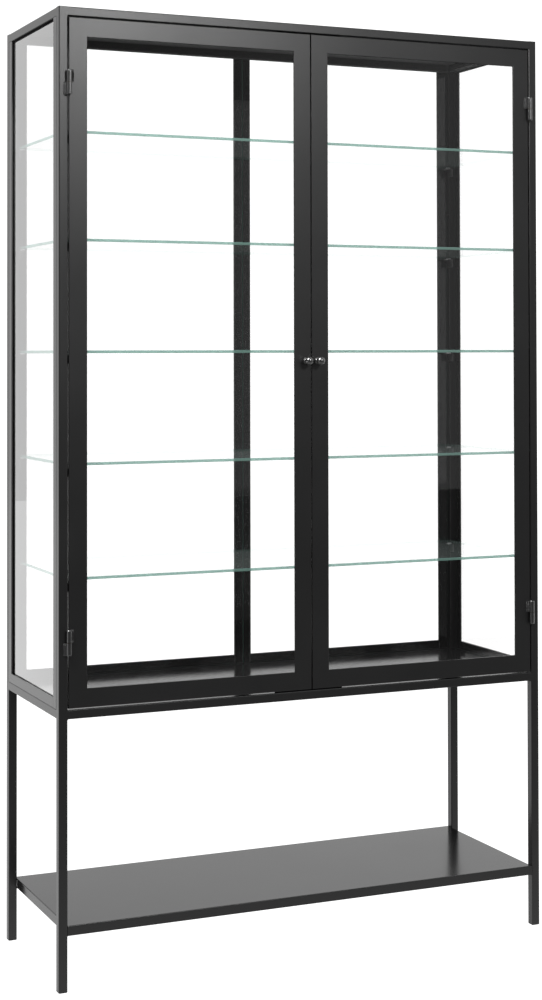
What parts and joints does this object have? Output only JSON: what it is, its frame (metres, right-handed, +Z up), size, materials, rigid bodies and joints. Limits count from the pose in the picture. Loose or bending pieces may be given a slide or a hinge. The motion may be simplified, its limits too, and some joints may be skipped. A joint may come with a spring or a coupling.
{
  "type": "tower display case",
  "caption": "Tall glazed display case: black welded tube stand, two hinged glass doors, clear glass shelves and an open steel shelf below.",
  "frame": {"origin": "on the floor, in the middle of the bounding box in plan", "axes": "+X to the right and -Y towards the viewer seen from the front, +Z up"},
  "size_m": [1.13, 0.418, 2],
  "materials": {
    "black_steel": "satin black powder coat on welded steel",
    "pane_glass": "clear 4 mm float glass",
    "shelf_glass": "clear 6 mm float glass with ground, teal-looking edges",
    "foot_plastic": "moulded black plug",
    "clear_pad": "clear soft bumper",
    "magnet": "nickel-plated disc",
    "brass_washer": "turned washer",
    "zinc_steel": "bright zinc plate"
  },
  "bodies": {
    "case": {"front_left_post": "black_steel", "front_right_post": "black_steel", "rear_left_post": "black_steel", "rear_right_post": "black_steel", "top_front_rail": "black_steel", "top_rear_rail": "black_steel", "top_left_rail": "black_steel", "top_right_rail": "black_steel", "base_front_rail": "black_steel", "base_rear_rail": "black_steel", "base_left_rail": "black_steel", "base_right_rail": "black_steel", "top_panel": "black_steel", "floor_panel": "black_steel", "lower_shelf": "black_steel", "foot_plugs": "foot_plastic", "left_front_strip": "black_steel", "left_rear_strip": "black_steel", "left_sill_strip": "black_steel", "right_front_strip": "black_steel", "right_rear_strip": "black_steel", "right_sill_strip": "black_steel", "back_left_strip": "black_steel", "back_right_strip": "black_steel", "back_mullion": "black_steel", "back_sill_strips": "black_steel", "left_pane": "pane_glass", "right_pane": "pane_glass", "rear_left_pane": "pane_glass", "rear_right_pane": "pane_glass", "glass_shelf_1": "shelf_glass", "glass_shelf_2": "shelf_glass", "glass_shelf_3": "shelf_glass", "glass_shelf_4": "shelf_glass", "glass_shelf_5": "shelf_glass", "shelf_brackets": "black_steel", "shelf_pads": "clear_pad", "door_stop_plates": "black_steel", "catch_magnets": "magnet", "hinge_frame_knuckles": "black_steel", "hinge_pins": "zinc_steel", "hinge_washers": "brass_washer"},
    "left_door": {"left_door_hinge_stile": "black_steel", "left_door_meeting_stile": "black_steel", "left_door_top_rail": "black_steel", "left_door_bottom_rail": "black_steel", "left_door_glass": "pane_glass", "left_door_beads": "black_steel", "left_door_knuckles": "black_steel", "left_door_knob": "black_steel", "left_door_knob_screw": "zinc_steel"},
    "right_door": {"right_door_hinge_stile": "black_steel", "right_door_meeting_stile": "black_steel", "right_door_top_rail": "black_steel", "right_door_bottom_rail": "black_steel", "right_door_glass": "pane_glass", "right_door_beads": "black_steel", "right_door_knuckles": "black_steel", "right_door_knob": "black_steel", "right_door_knob_screw": "zinc_steel"}
  },
  "joints": [
    {"name": "left_door_hinge", "type": "hinge", "parent": "case", "child": "left_door", "pos_m": [-0.54475, -0.187, 0.5715], "axis": [0, 0, -1], "range_deg": [0, 170]},
    {"name": "right_door_hinge", "type": "hinge", "parent": "case", "child": "right_door", "pos_m": [0.54475, -0.187, 0.5715], "axis": [0, 0, 1], "range_deg": [0, 170]}
  ]
}
